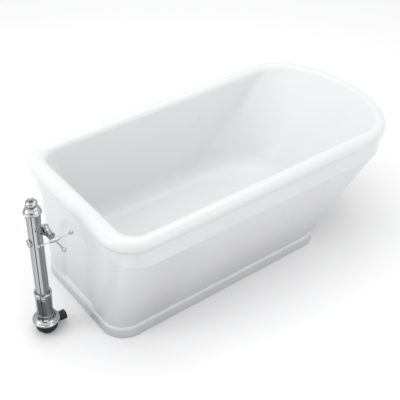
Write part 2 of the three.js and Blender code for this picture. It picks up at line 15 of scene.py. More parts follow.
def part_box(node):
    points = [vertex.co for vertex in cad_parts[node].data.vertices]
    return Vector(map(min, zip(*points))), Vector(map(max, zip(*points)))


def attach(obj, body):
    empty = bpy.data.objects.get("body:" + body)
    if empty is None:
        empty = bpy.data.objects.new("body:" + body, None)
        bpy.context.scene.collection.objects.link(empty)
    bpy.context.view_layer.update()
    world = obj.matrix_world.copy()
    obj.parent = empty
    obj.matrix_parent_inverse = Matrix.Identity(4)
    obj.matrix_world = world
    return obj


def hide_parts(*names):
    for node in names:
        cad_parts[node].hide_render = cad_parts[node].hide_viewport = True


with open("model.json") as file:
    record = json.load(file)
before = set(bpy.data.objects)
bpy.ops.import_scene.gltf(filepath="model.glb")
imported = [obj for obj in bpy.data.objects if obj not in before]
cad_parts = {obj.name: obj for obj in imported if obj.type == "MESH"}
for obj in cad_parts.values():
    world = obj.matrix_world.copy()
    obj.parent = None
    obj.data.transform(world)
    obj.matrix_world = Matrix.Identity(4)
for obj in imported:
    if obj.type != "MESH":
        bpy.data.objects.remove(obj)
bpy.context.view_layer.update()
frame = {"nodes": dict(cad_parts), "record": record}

MM = 0.001
SCENE = bpy.context.scene
SCENE.view_settings.view_transform = "Standard"

BASIN_LOW, BASIN_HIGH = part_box("basin")
_, SKIRT_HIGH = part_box("skirt")
HEAD_REACH = 800 * MM
MIDDLE_X = BASIN_HIGH.x - HEAD_REACH  # plan places along the bath are measured from here


# ------------------------------------------------------------------ camera
CAMERA_PLACE = Vector((MIDDLE_X - 1.9494, -2.2828, 2.5291))
CAMERA_AZIMUTH = math.radians(-36.108)
CAMERA_ELEVATION = math.radians(36.005)
CAMERA_LENS = 72.24
CAMERA_SHIFT = (0.07, -0.0654)


def make_camera():
    """Looks down at the bath's drain corner, with the standpipe at the left."""
    data = bpy.data.cameras.new("camera")
    data.lens = CAMERA_LENS
    data.sensor_width = 36.0
    data.shift_x, data.shift_y = CAMERA_SHIFT
    camera = bpy.data.objects.new("camera", data)
    SCENE.collection.objects.link(camera)
    camera.location = CAMERA_PLACE
    back = Vector(
        (
            math.sin(CAMERA_AZIMUTH) * math.cos(CAMERA_ELEVATION),
            -math.cos(CAMERA_AZIMUTH) * math.cos(CAMERA_ELEVATION),
            math.sin(CAMERA_ELEVATION),
        )
    )
    camera.rotation_mode = "QUATERNION"
    camera.rotation_quaternion = (-back).to_track_quat("-Z", "Y")
    SCENE.camera = camera


make_camera()


# ------------------------------------------------------------------ materials
class Surface:
    """A Principled material with a few procedural helpers, in object coordinates."""

    def __init__(self, name, color, **sockets):
        self.material = bpy.data.materials.new(name)
        self.material.use_nodes = True
        self.tree = self.material.node_tree
        self.shader = self.tree.nodes["Principled BSDF"]
        self.shader.inputs["Base Color"].default_value = (*color, 1.0)
        for socket, value in sockets.items():
            self.shader.inputs[socket.replace("_", " ")].default_value = value
        self.coords = self.tree.nodes.new("ShaderNodeTexCoord")

    def node(self, kind, **values):
        made = self.tree.nodes.new(kind)
        for key, value in values.items():
            if key in made.inputs:
                made.inputs[key].default_value = value
            else:
                setattr(made, key, value)
        return made

    def link(self, source, target):
        self.tree.links.new(source, target)

    def mapped(self, scale=(1.0, 1.0, 1.0)):
        mapping = self.node("ShaderNodeMapping", Scale=scale)
        self.link(self.coords.outputs["Object"], mapping.inputs["Vector"])
        return mapping.outputs["Vector"]

    def noise(self, scale, detail=4.0, stretch=(1.0, 1.0, 1.0)):
        made = self.node("ShaderNodeTexNoise", Scale=scale, Detail=detail, Roughness=0.5)
        self.link(self.mapped(stretch), made.inputs["Vector"])
        return made.outputs["Fac"]

    def ramp(self, factor, stops):
        made = self.node("ShaderNodeValToRGB")
        elements = made.color_ramp.elements
        while len(elements) < len(stops):
            elements.new(0.5)
        for element, (position, color) in zip(elements, stops):
            element.position = position
            element.color = (*color, 1.0)
        self.link(factor, made.inputs["Fac"])
        return made.outputs["Color"]

    def tint(self, factor, stops):
        self.link(self.ramp(factor, stops), self.shader.inputs["Base Color"])

    def gloss(self, factor, low, high):
        span = self.node("ShaderNodeMapRange")
        span.inputs["To Min"].default_value = low
        span.inputs["To Max"].default_value = high
        self.link(factor, span.inputs["Value"])
        self.link(span.outputs["Result"], self.shader.inputs["Roughness"])

    def bump(self, factor, strength, distance):
        made = self.node("ShaderNodeBump", Strength=strength, Distance=distance)
        self.link(factor, made.inputs["Height"])
        self.link(made.outputs["Normal"], self.shader.inputs["Normal"])


def bath_white():
    """Cast acrylic: a clear gloss over a faintly clouded white body."""
    s = Surface("bath_white", (0.785, 0.787, 0.795), Coat_Weight=0.15, Coat_Roughness=0.1, IOR=1.49)
    s.tint(s.noise(3.0), [(0.3, (0.777, 0.78, 0.789)), (0.7, (0.795, 0.797, 0.803))])
    s.gloss(s.noise(14.0, 6.0), 0.24, 0.36)
    s.bump(s.noise(22.0, 2.0), 0.05, 0.0012)
    return s.material


def porcelain_white():
    s = Surface("porcelain_white", (0.9, 0.89, 0.86), Coat_Weight=0.9, Coat_Roughness=0.02, IOR=1.52)
    s.tint(s.noise(60.0), [(0.35, (0.87, 0.862, 0.84)), (0.7, (0.93, 0.925, 0.905))])
    s.gloss(s.noise(180.0), 0.08, 0.16)
    s.bump(s.noise(90.0, 3.0), 0.06, 0.0004)
    return s.material


def chrome():
    """Polished plating with painted shade toward its outline, standing in for dark reflections, and faint
    lengthwise wiping marks.
    """
    s = Surface("chrome", (0.6, 0.61, 0.635), Metallic=1.0)
    # painted shade: the base colour falls from 0.6 to 0.1 toward the outline, standing in for dark
    # reflections
    facing = s.node("ShaderNodeLayerWeight", Blend=0.5).outputs["Facing"]
    tones = [(0.1, (0.6, 0.61, 0.635)), (0.55, (0.36, 0.37, 0.39)), (0.85, (0.1, 0.103, 0.11))]
    s.tint(facing, tones)
    s.gloss(s.noise(420.0, 6.0, (1.0, 1.0, 0.05)), 0.03, 0.07)
    s.bump(s.noise(300.0, 3.0, (1.0, 1.0, 0.08)), 0.015, 0.0002)
    return s.material


def black_plastic():
    s = Surface("black_plastic", (0.02, 0.02, 0.022), IOR=1.5)
    s.tint(s.noise(40.0), [(0.3, (0.012, 0.012, 0.014)), (0.75, (0.035, 0.035, 0.038))])
    s.gloss(s.noise(160.0, 5.0), 0.28, 0.46)
    s.bump(s.noise(900.0, 2.0), 0.25, 0.0002)
    return s.material


def rubber():
    s = Surface("rubber", (0.025, 0.025, 0.025), IOR=1.5)
    s.tint(s.noise(70.0), [(0.3, (0.015, 0.015, 0.015)), (0.7, (0.05, 0.05, 0.048))])
    s.gloss(s.noise(200.0), 0.65, 0.85)
    s.bump(s.noise(1200.0, 3.0), 0.4, 0.0003)
    return s.material


def brass():
    s = Surface("brass", (0.7, 0.56, 0.3), Metallic=1.0)
    tones = [(0.25, (0.5, 0.37, 0.17)), (0.6, (0.72, 0.58, 0.31)), (0.85, (0.8, 0.67, 0.4))]
    s.tint(s.noise(30.0, 6.0), tones)
    s.gloss(s.noise(260.0, 5.0, (1.0, 1.0, 12.0)), 0.2, 0.42)
    s.bump(s.noise(500.0, 2.0, (0.1, 0.1, 4.0)), 0.15, 0.0002)
    return s.material


def zinc_steel():
    s = Surface("zinc_steel", (0.6, 0.61, 0.63), Metallic=1.0)
    spangle = s.node("ShaderNodeTexVoronoi", Scale=160.0)
    s.link(s.mapped(), spangle.inputs["Vector"])
    s.tint(spangle.outputs["Distance"], [(0.1, (0.5, 0.51, 0.53)), (0.6, (0.68, 0.69, 0.71))])
    s.gloss(s.noise(220.0, 6.0), 0.3, 0.55)
    s.bump(s.noise(600.0, 3.0), 0.15, 0.0002)
    return s.material


def white_pipe():
    s = Surface("white_pipe", (0.8, 0.8, 0.78), IOR=1.5)
    s.tint(s.noise(25.0), [(0.3, (0.74, 0.74, 0.715)), (0.7, (0.84, 0.84, 0.825))])
    s.gloss(s.noise(130.0), 0.35, 0.5)
    s.bump(s.noise(700.0, 2.0), 0.15, 0.0002)
    return s.material


def particle_board():
    s = Surface("board", (0.48, 0.34, 0.2))
    chips = s.node("ShaderNodeTexVoronoi", Scale=220.0)
    s.link(s.mapped((1.0, 0.6, 1.0)), chips.inputs["Vector"])
    tones = [(0.15, (0.3, 0.2, 0.1)), (0.5, (0.5, 0.36, 0.21)), (0.85, (0.64, 0.5, 0.32))]
    s.tint(chips.outputs["Color"], tones)
    s.gloss(s.noise(90.0), 0.75, 0.9)
    s.bump(s.noise(420.0, 5.0), 0.5, 0.0006)
    return s.material


MATERIALS = {
    "bath_white": bath_white(),
    "porcelain_white": porcelain_white(),
    "chrome": chrome(),
    "black_plastic": black_plastic(),
    "rubber": rubber(),
    "brass": brass(),
    "zinc_steel": zinc_steel(),
    "white_pipe": white_pipe(),
    "board": particle_board(),
}
SLOT_OF = {row["node"]: row["material_slot"] for row in frame["record"]["subparts"]}
BODY_OF = {node: body for body, nodes in frame["record"]["behaviour"]["bodies"].items() for node in nodes}


# ------------------------------------------------------------------ mesh helpers
SHARP = math.radians(32)


def to_object(name, bm):
    """Closes a bmesh into a smooth-shaded object that keeps its hard edges."""
    bmesh.ops.remove_doubles(bm, verts=bm.verts, dist=0.02 * MM)
    bmesh.ops.recalc_face_normals(bm, faces=bm.faces)
    for edge in bm.edges:
        edge.smooth = len(edge.link_faces) == 2 and edge.calc_face_angle(0.0) < SHARP
    for face in bm.faces:
        face.smooth = True
    mesh = bpy.data.meshes.new(name)
    bm.to_mesh(mesh)
    bm.free()
    made = bpy.data.objects.new(name, mesh)
    SCENE.collection.objects.link(made)
    return made


def finish_piece(made, node):
    """Gives a piece its CAD node's body, slot and material, and hides that node."""
    slot = SLOT_OF[node]
    made.data.materials.clear()
    made.data.materials.append(MATERIALS[slot])
    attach(made, BODY_OF[node])
    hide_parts(node)


def piece(name, bm, node):
    finish_piece(to_object(name, bm), node)


def combine(base, other, operation):
    """Joins or cuts base with other by a boolean, shades it smooth and removes other."""
    modifier = base.modifiers.new(operation.lower(), "BOOLEAN")
    modifier.operation = operation
    modifier.solver = "EXACT"
    modifier.object = other
    bpy.context.view_layer.update()
    evaluated = base.evaluated_get(bpy.context.evaluated_depsgraph_get())
    mesh = bpy.data.meshes.new_from_object(evaluated)
    base.modifiers.clear()
    base.data = mesh
    for polygon in mesh.polygons:
        polygon.use_smooth = True
    bpy.data.objects.remove(other)


def eased(points, radius):
    """Rounds the corners of a closed outline; a point's own third value overrides the radius."""
    steps = 5
    out = []
    count = len(points)
    for i, corner in enumerate(points):
        here = Vector(corner[:2])
        before = Vector(points[i - 1][:2])
        after = Vector(points[(i + 1) % count][:2])
        own = corner[2] if len(corner) > 2 else radius
        if here.x < 1e-9 or own <= 0:
            out.append(here)
            continue
        back, ahead = before - here, after - here
        reach = min(own, back.length * 0.45, ahead.length * 0.45)
        start = here + back.normalized() * reach
        end = here + ahead.normalized() * reach
        for k in range(steps + 1):
            t = k / steps
            out.append(start * (1 - t) ** 2 + here * 2 * t * (1 - t) + end * t * t)
    return out


def turn(bm, outline, place=Matrix.Identity(4), sides=96):
    """Turns a closed outline of (radius, height) points about Z into bm."""
    rings = []
    for point in outline:
        r, z = point[0], point[1]
        if r < 1e-7:
            rings.append([bm.verts.new(place @ Vector((0, 0, z)))])
            continue
        ring = []
        for i in range(sides):
            a = 2 * math.pi * i / sides
            ring.append(bm.verts.new(place @ Vector((r * math.cos(a), r * math.sin(a), z))))
        rings.append(ring)
    for low, high in zip(rings, rings[1:] + rings[:1]):
        if len(low) == 1 and len(high) == 1:
            continue
        for i in range(sides):
            j = (i + 1) % sides
            corners = [low[i % len(low)], low[j % len(low)], high[j % len(high)], high[i % len(high)]]
            bm.faces.new(list(dict.fromkeys(corners)))


def in_mm(points):
    return [tuple(value * MM for value in point) for point in points]


def turned_piece(name, node, outline, place, radius=0.8, sides=96):
    """A turned piece from an outline in millimetres, its corners eased by radius."""
    bm = bmesh.new()
    turn(bm, eased(in_mm(outline), radius * MM), place, sides)
    piece(name, bm, node)


# ------------------------------------------------------------------ the bath's outline
# drain, head: x of the two ends; width: half width; corner: radius at the drain end;
# head_x, head_y: half axes of the elliptical corners at the head end.
Plan = namedtuple("Plan", "drain head width corner head_x head_y")

ROLL = 32 * MM
DRAIN_ROLL = 42 * MM  # half width of the wider roll at the drain end
ROLL_Z = BASIN_HIGH.z - ROLL
SHELL = 7 * MM
FLOOR_Z = 130 * MM
FILLET_HEIGHT = 90 * MM
SIDE_DRAFT = 0.11
DRAIN_DRAFT = 0.12
HEAD_SLOPE = 0.9
CORNER_GROWTH = 0.09  # how fast the plan's corners change with depth below the roll
HEAD_X_GROWTH = 0.35
HEAD_Y_LOSS = 0.3
FLOOR_THINNING = 0.6  # part of the shell's side step that is gone where it meets the floor
DRAIN_HOLE = 26 * MM
ROLL_LINE = Plan(
    drain=BASIN_LOW.x + DRAIN_ROLL,
    head=BASIN_HIGH.x - ROLL,
    width=BASIN_HIGH.y - ROLL,
    corner=110 * MM,
    head_x=245 * MM,
    head_y=378 * MM,
)


def outset(plan, d):
    return Plan(plan.drain - d, plan.head + d, *(value + d for value in plan[2:]))


def blend(a, b, t):
    return Plan(*(p + (q - p) * t for p, q in zip(a, b)))


def steps_between(a, b, count):
    return [a + (b - a) * i / count for i in range(count)]


NICHE_FIELD = 140 * MM  # half width of the finely divided part of the drain end
FINE = 4 * MM  # spacing of the points there


def level_ring(plan, z, fine_end=False):
    """One level ring, anticlockwise from above, starting on the near side."""
    drain, head, width, corner, head_x, head_y = plan
    side, bend, front, small = 26, 34, 10, 12
    points = []

    def arc(cx, cy, rx, ry, start, count):
        for i in range(count):
            a = start + math.pi / 2 * i / count
            points.append((cx + rx * math.cos(a), cy + ry * math.sin(a)))

    points += [(x, -width) for x in steps_between(drain + corner, head - head_x, side)]
    arc(head - head_x, -width + head_y, head_x, head_y, -math.pi / 2, bend)
    points += [(head, y) for y in steps_between(-width + head_y, width - head_y, front)]
    arc(head - head_x, width - head_y, head_x, head_y, 0.0, bend)
    points += [(x, width) for x in steps_between(head - head_x, drain + corner, side)]
    arc(drain + corner, width - corner, corner, corner, math.pi / 2, small)
    flat = width - corner
    if fine_end:
        fine_count = round(2 * NICHE_FIELD / FINE)
        ys = steps_between(flat, NICHE_FIELD, 8)
        ys += steps_between(NICHE_FIELD, -NICHE_FIELD, fine_count)
        ys += steps_between(-NICHE_FIELD, -flat, 8)
    else:
        ys = steps_between(flat, -flat, 20)
    points += [(drain, y) for y in ys]
    arc(drain + corner, -width + corner, corner, corner, math.pi, small)
    return [Vector((x, y, z)) for x, y in points]


def skin(bm, rings, around=False):
    """Joins level rings with quads; around also joins the last ring to the first."""
    grid = [[bm.verts.new(p) for p in ring] for ring in rings]
    pairs = list(zip(grid, grid[1:]))
    if around:
        pairs.append((grid[-1], grid[0]))
    for low, high in pairs:
        for i in range(len(low)):
            j = (i + 1) % len(low)
            bm.faces.new((low[i], low[j], high[j], high[i]))
    return grid


def cap(bm, ring):
    """Closes a ring with shrinking rings and a fan, so the surface stays even."""
    levels = 4
    centre = sum((v.co for v in ring), Vector()) / len(ring)
    outer = ring
    for level in range(1, levels):
        t = 1 - level / levels
        inner = [bm.verts.new(centre + (v.co - centre) * t) for v in ring]
        for i in range(len(ring)):
            j = (i + 1) % len(ring)
            bm.faces.new((outer[i], outer[j], inner[j], inner[i]))
        outer = inner
    middle = bm.verts.new(centre)
    for i in range(len(ring)):
        bm.faces.new((outer[i], outer[(i + 1) % len(ring)], middle))


# ------------------------------------------------------------------ basin
def inner_wall(z):
    """Plan of the inside at height z: the wall's slope, and above it the roll it runs into."""
    depth = ROLL_Z - z
    below = max(depth, 0.0)

    def inset(slope):
        run = math.hypot(1, slope)
        if depth > -ROLL * slope / run:
            return ROLL * run + slope * depth
        return math.sqrt(max(ROLL * ROLL - depth * depth, 0.0))

    widening = (DRAIN_ROLL / ROLL - 1) * inset(0.0)
    return Plan(
        drain=ROLL_LINE.drain + inset(DRAIN_DRAFT) + widening,
        head=ROLL_LINE.head - inset(HEAD_SLOPE),
        width=ROLL_LINE.width - inset(SIDE_DRAFT),
        corner=ROLL_LINE.corner - inset(0.0) + CORNER_GROWTH * below,
        head_x=ROLL_LINE.head_x - inset(0.0) + HEAD_X_GROWTH * below,
        head_y=ROLL_LINE.head_y - inset(0.0) - HEAD_Y_LOSS * below,
    )


def floor_edge():
    wall = inner_wall(FLOOR_Z)
    return Plan(
        drain=wall.drain + 60 * MM,
        head=wall.head - 150 * MM,
        width=wall.width - 75 * MM,
        corner=wall.corner - 30 * MM,
        head_x=wall.head_x - 60 * MM,
        head_y=wall.head_y - 20 * MM,
    )


def fillet(t):
    """Plan and height of the curve from the wall (t = 0) to the floor (t = 1)."""
    start, control = inner_wall(FLOOR_Z + FILLET_HEIGHT), inner_wall(FLOOR_Z)
    plan = blend(blend(start, control, t), blend(control, floor_edge(), t), t)
    return plan, FLOOR_Z + FILLET_HEIGHT * (1 - t) ** 2


FILLET_STEPS = 14
WALL_STEPS = 10
ROLL_STEPS = 14
WALL_LOW = FLOOR_Z + FILLET_HEIGHT


def inside_rings():
    """Rings of the inside, from the floor's edge up to the top of the roll."""
    rings = []
    for i in range(FILLET_STEPS, 0, -1):
        plan, z = fillet(i / FILLET_STEPS)
        rings.append(level_ring(plan, z))
    for z in steps_between(WALL_LOW, ROLL_Z, WALL_STEPS):
        rings.append(level_ring(inner_wall(z), z))
    for i in range(ROLL_STEPS):
        z = ROLL_Z + ROLL * math.sin(math.pi / 2 * i / ROLL_STEPS)
        rings.append(level_ring(inner_wall(z), z))
    return rings


def outside_rings():
    """Rings from the top of the roll round its outside and down under the shell's floor."""
    rings = []
    for i in range(2 * ROLL_STEPS + 1):
        a = math.pi / 2 * (1 - i / ROLL_STEPS)
        plan = outset(ROLL_LINE, ROLL * math.cos(a))
        plan = plan._replace(drain=ROLL_LINE.drain - DRAIN_ROLL * math.cos(a))
        rings.append(level_ring(plan, ROLL_Z + ROLL * math.sin(a)))
    for z in steps_between(ROLL_Z - ROLL - SHELL, WALL_LOW, WALL_STEPS):
        rings.append(level_ring(outset(inner_wall(z), SHELL), z))
    for i in range(FILLET_STEPS + 1):
        plan, z = fillet(i / FILLET_STEPS)
        thickness = SHELL * (1 - FLOOR_THINNING * i / FILLET_STEPS)
        rings.append(level_ring(outset(plan, thickness), z - SHELL))
    return rings


def cut_drain_hole(basin):
    low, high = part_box("drain_gasket")
    bottom, top = 90 * MM, 160 * MM
    hole = bmesh.new()
    turn(hole, [(0, bottom), (DRAIN_HOLE, bottom), (DRAIN_HOLE, top), (0, top)], sides=64)
    cutter = to_object("hole_cutter", hole)
    cutter.location = ((low.x + high.x) / 2, 0, 0)
    combine(basin, cutter, "DIFFERENCE")


def make_basin():
    bm = bmesh.new()
    grid = skin(bm, inside_rings() + outside_rings())
    cap(bm, grid[0])
    cap(bm, grid[-1])
    basin = to_object("bath_basin", bm)
    cut_drain_hole(basin)
    finish_piece(basin, "basin")


# ------------------------------------------------------------------ skirt
WALL = 6 * MM
FASCIA_OUT = 16.5 * MM
FASCIA_STEP = 8 * MM
FASCIA_TOP = SKIRT_HIGH.z
FASCIA_BOTTOM = 438 * MM
PLINTH_TOP = 54 * MM
NICHE_HALF = 118 * MM
NICHE_TOP = 408 * MM
NICHE_RADIUS = 92 * MM
NICHE_DEPTH = 9 * MM
NICHE_EASE = 26 * MM
PLINTH_ROUND = 10 * MM
COVE = 5 * MM
SEAM = 0.3 * MM

FASCIA = outset(ROLL_LINE, FASCIA_OUT)._replace(drain=MIDDLE_X - 786 * MM)
BODY_TOP = Plan(
    drain=FASCIA.drain + FASCIA_STEP,
    head=FASCIA.head - FASCIA_STEP,
    width=FASCIA.width - FASCIA_STEP,
    corner=FASCIA.corner,
    head_x=FASCIA.head_x - FASCIA_STEP,
    head_y=FASCIA.head_y - FASCIA_STEP,
)
PLINTH = Plan(MIDDLE_X - 797 * MM, MIDDLE_X + 360 * MM, 315 * MM, 105 * MM, 90 * MM, 90 * MM)
BODY_BOTTOM = Plan(
    PLINTH.drain + 5 * MM, PLINTH.head - 8 * MM, PLINTH.width - 5 * MM, 102 * MM, 92 * MM, 92 * MM
)
BODY_LOW_Z = PLINTH_TOP + 4 * MM
BODY_HIGH_Z = FASCIA_BOTTOM - 8 * MM


def smoothstep(t):
    t = min(max(t, 0.0), 1.0)
    return t * t * (3 - 2 * t)


def niche_depth(y, z):
    """How far the recess in the drain end is sunk at a place on the wall."""
    across = abs(y) - (NICHE_HALF - NICHE_RADIUS)
    up = z - (NICHE_TOP - NICHE_RADIUS)
    if across > 0 and up > 0:
        inside = NICHE_RADIUS - math.hypot(across, up)
    else:
        inside = NICHE_RADIUS - max(across, up)
    rise = smoothstep((z - BODY_LOW_Z) / (8 * MM))
    return NICHE_DEPTH * smoothstep(inside / NICHE_EASE / 2 + 0.5) * rise


def sink_niche(ring, plan):
    """Pushes the points of the drain end inwards where the recess is."""
    reach = plan.width - plan.corner
    for p in ring:
        if p.x < plan.drain + 1e-6 and abs(p.y) < reach:
            p.x += niche_depth(p.y, p.z)
    return ring


def body_heights():
    """Heights of the body's rings: close together round the recess's arch and at the ends."""
    low, arch, high = BODY_LOW_Z, NICHE_TOP - NICHE_RADIUS - 10 * MM, BODY_HIGH_Z
    heights = steps_between(low, low + 16 * MM, 8)
    heights += steps_between(low + 16 * MM, arch, 16)
    heights += steps_between(arch, high, round((high - arch) / FINE))
    return heights + [high]


def body_plan(z):
    return blend(BODY_BOTTOM, BODY_TOP, (z - BODY_LOW_Z) / (BODY_HIGH_Z - BODY_LOW_Z))


def skirt_ring(plan, z, inset=0.0):
    return level_ring(outset(plan, -inset), z, fine_end=True)


def plinth_rings():
    """Rings of the plinth from the floor up, its rounded top edge and the cove above it."""
    rings = [skirt_ring(PLINTH, 0.0, 1.5 * MM), skirt_ring(PLINTH, 1.5 * MM)]
    rings += [skirt_ring(PLINTH, z) for z in steps_between(6 * MM, PLINTH_TOP - 8 * MM, 5)]
    for i in range(9):
        a = math.pi / 2 * i / 8
        z = PLINTH_TOP - PLINTH_ROUND + PLINTH_ROUND * math.sin(a)
        rings.append(skirt_ring(PLINTH, z, PLINTH_ROUND * (1 - math.cos(a))))
    for i in range(1, 6):
        a = math.pi / 2 * i / 6
        plan = outset(body_plan(BODY_LOW_Z), COVE * (1 - math.sin(a)))
        z = PLINTH_TOP + (BODY_LOW_Z - PLINTH_TOP) * (1 - math.cos(a))
        rings.append(skirt_ring(plan, z))
    return rings


def body_ring(z, inset=0.0):
    plan = body_plan(z)
    return sink_niche(skirt_ring(plan, z, inset), outset(plan, -inset))


def fascia_rings():
    """Rings of the band under the roll, with the step below it and the edge that follows the roll."""
    rings = []
    for i in range(1, 7):
        t = i / 6
        z = BODY_HIGH_Z + (FASCIA_BOTTOM - BODY_HIGH_Z) * t
        rings.append(skirt_ring(blend(BODY_TOP, FASCIA, smoothstep(t)), z))
    for z in steps_between(FASCIA_BOTTOM + 2 * MM, FASCIA_TOP - 3 * MM, 6):
        rings.append(skirt_ring(FASCIA, z))
    for inset in (0.0, 2 * MM, 4 * MM, WALL):
        reach = FASCIA_OUT - inset
        z = ROLL_Z - math.sqrt(ROLL**2 - reach**2) - SEAM
        rings.append(skirt_ring(FASCIA, z, inset))
    return rings


def lining_rings():
    """Rings of the skirt's inside face, from the top down."""
    rings = [skirt_ring(BODY_TOP, BODY_HIGH_Z, WALL)]
    rings += [body_ring(z, WALL) for z in reversed(body_heights()[:-1])]
    rings.append(skirt_ring(PLINTH, PLINTH_TOP - 5 * MM, WALL))
    rings.append(skirt_ring(PLINTH, 0.0, WALL))
    return rings


def make_skirt():
    body = [body_ring(z) for z in body_heights()]
    bm = bmesh.new()
    skin(bm, plinth_rings() + body + fascia_rings() + lining_rings(), around=True)
    piece("bath_skirt", bm, "skirt")


# ------------------------------------------------------------------ standpipe
def upright(node):
    """A frame on a turned CAD piece's axis, its origin on the floor."""
    low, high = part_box(node)
    return Matrix.Translation(((low.x + high.x) / 2, (low.y + high.y) / 2, 0.0))


def heights(node):
    low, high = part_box(node)
    return low.z / MM, high.z / MM


PIPE = upright("main_tube")
PORT_RIB_PITCH = 4  # mm
SADDLE_RADIUS = 28.8  # mm, the tube's outside and a gap
SADDLE_REACH = 60  # mm


def saddle(name, z):
    """A cylinder the size of the main tube, round the height z, to cut a fitting's seat with."""
    r, reach = SADDLE_RADIUS, SADDLE_REACH
    outline = [(0, -reach), (r, -reach), (r, reach), (0, reach)]
    bm = bmesh.new()
    turn(bm, in_mm(outline), PIPE @ Matrix.Translation((0, 0, z)), 128)
    return to_object(name, bm)


def ribbed_port():
    """The tee's side port: a socket with four ribs, lying along X from the tee's middle."""
    _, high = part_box("base_tee")
    seal_low, seal_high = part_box("port_seal")
    axis_z = (seal_low.z + seal_high.z) / 2
    length = (high.x - PIPE.translation.x) / MM
    ribs = []
    for i in range(4):
        x = length - 22 + i * PORT_RIB_PITCH
        ribs += [(21, x, 0.5), (21, x + 2, 0.5), (20, x + 2.6, 0.4), (20, x + 3.4, 0.4)]
    mouth = [(21, length - 5), (21, length), (17.5, length), (17.5, length - 8), (15, length - 8)]
    outline = [(15, 20), (19, 20), (19, length - 24), *ribs, *mouth]
    place = PIPE @ Matrix.Translation((0, 0, axis_z)) @ Matrix.Rotation(math.pi / 2, 4, "Y")
    bm = bmesh.new()
    turn(bm, eased(in_mm(outline), 0.8 * MM), place)
    return to_object("base_tee_port", bm)


def make_base_tee():
    low, high = heights("base_tee")
    outline = [(15, low), (31, low), (31, 15), (46, 19), (46, high), (26, high), (26, 8), (15, 8)]
    bm = bmesh.new()
    turn(bm, eased(in_mm(outline), 1.2 * MM), PIPE)
    tee = to_object("base_tee_body", bm)
    combine(tee, ribbed_port(), "UNION")
    tee.name = "waste_base_tee"
    finish_piece(tee, "base_tee")


def make_flange():
    low, high = heights("flange_collar")
    foot = [(35, low), (56.5, low, 0.6), (58, low + 3, 1.5), (57, low + 8.5, 2.5), (50.5, low + 10, 1.5)]
    flare = [(50, low + 13.5, 1.5), (44.5, low + 16, 4), (41, low + 21, 5), (38.6, low + 31, 6)]
    outline = [*foot, *flare, (37, high, 0.8), (35, high)]
    turned_piece("waste_flange", "flange_collar", outline, PIPE, sides=128)


def make_sleeve():
    low, high = heights("lower_sleeve")
    outline = [(31, low), (34.6, low), (34.6, high - 14), (35.2, high - 10), (35.2, high), (31, high)]
    turned_piece("waste_sleeve", "lower_sleeve", outline, PIPE, 1.2, 128)
    low, high = heights("sleeve_nut")
    lip = [(36.2, low), (37.3, low + 2, 1.5), (37.3, high - 3, 1.5), (35, high, 1.2)]
    outline = [(28.8, low), *lip, (28.8, high - 1)]
    turned_piece("waste_sleeve_lip", "sleeve_nut", outline, PIPE, 0.6, 128)


def make_tube():
    low, high = heights("main_tube")
    bell = [(28.5, high - 52, 12), (29.6, high - 24, 14), (33, high, 0.8), (29, high)]
    outline = [(26, low), (28.5, low), *bell, (26, high - 26, 8)]
    turned_piece("waste_tube", "main_tube", outline, PIPE, 0.6, 128)


def make_dome():
    low, high = heights("dome_cap")
    bead = [(31, low), (36, low), (37.5, low + 2.5, 1.2), (36.6, low + 5.5, 1.2), (34.8, low + 7, 1)]
    crown = [(34, low + 13, 6), (28.5, low + 22, 7), (19, high - 2, 5), (12, high), (4.4, high)]
    inside = [(4.4, high - 4), (17, high - 6), (25, low + 17), (30, low + 8)]
    turned_piece("waste_dome", "dome_cap", [*bead, *crown, *inside], PIPE, 0.8, 128)


def make_guide_ball():
    low, high = heights("guide_ball")
    middle, half = (low + high) / 2, (high - low) / 2
    bore, neck, belly, steps = 4.4, 12.0, 23.9, 26
    points = [(bore, low)]
    for i in range(steps + 1):
        a = math.pi * i / steps
        points.append((neck + (belly - neck) * math.sin(a), middle - half * math.cos(a)))
    points.append((bore, high))
    bm = bmesh.new()
    turn(bm, in_mm(points), PIPE)
    piece("waste_guide_ball", bm, "guide_ball")


def make_button():
    """The lift rod with its ferrule and the porcelain button on top."""
    low, high = heights("button_ferrule")
    outline = [(0, low), (7, low), (9, low + 1.2), (9, high - 1), (8, high), (0, high)]
    turned_piece("button_ferrule_ring", "button_ferrule", outline, PIPE, 0.6)
    low, high = heights("lift_rod")
    outline = [(0, low), (3, low), (4, low + 1.5), (4, high), (0, high)]
    turned_piece("lift_rod_turned", "lift_rod", outline, PIPE, 0.3, 48)
    low, high = heights("porcelain_button")
    stem = [(0, low), (7, low), (7.6, low + 6, 3), (14, low + 9, 4)]
    crown = [(20.5, low + 12.5, 4), (20.5, high - 5, 4), (16, high - 0.8, 5), (8, high, 3), (0, high)]
    turned_piece("button_porcelain", "porcelain_button", [*stem, *crown], PIPE, 1.0)


def make_standpipe():
    make_flange()
    make_sleeve()
    make_tube()
    make_dome()
    make_guide_ball()
    make_button()


# ------------------------------------------------------------------ side valve
def centre_of(node):
    low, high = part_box(node)
    return (low + high) / 2


def toward(direction):
    """A rotation that lays a turned piece's axis along a direction."""
    return Vector(direction).to_track_quat("Z", "Y").to_matrix().to_4x4()


FRONT = (0, -1, 0)
BATH_SIDE = (1, 0, 0)
OUTER_SIDE = (-1, 0, 0)


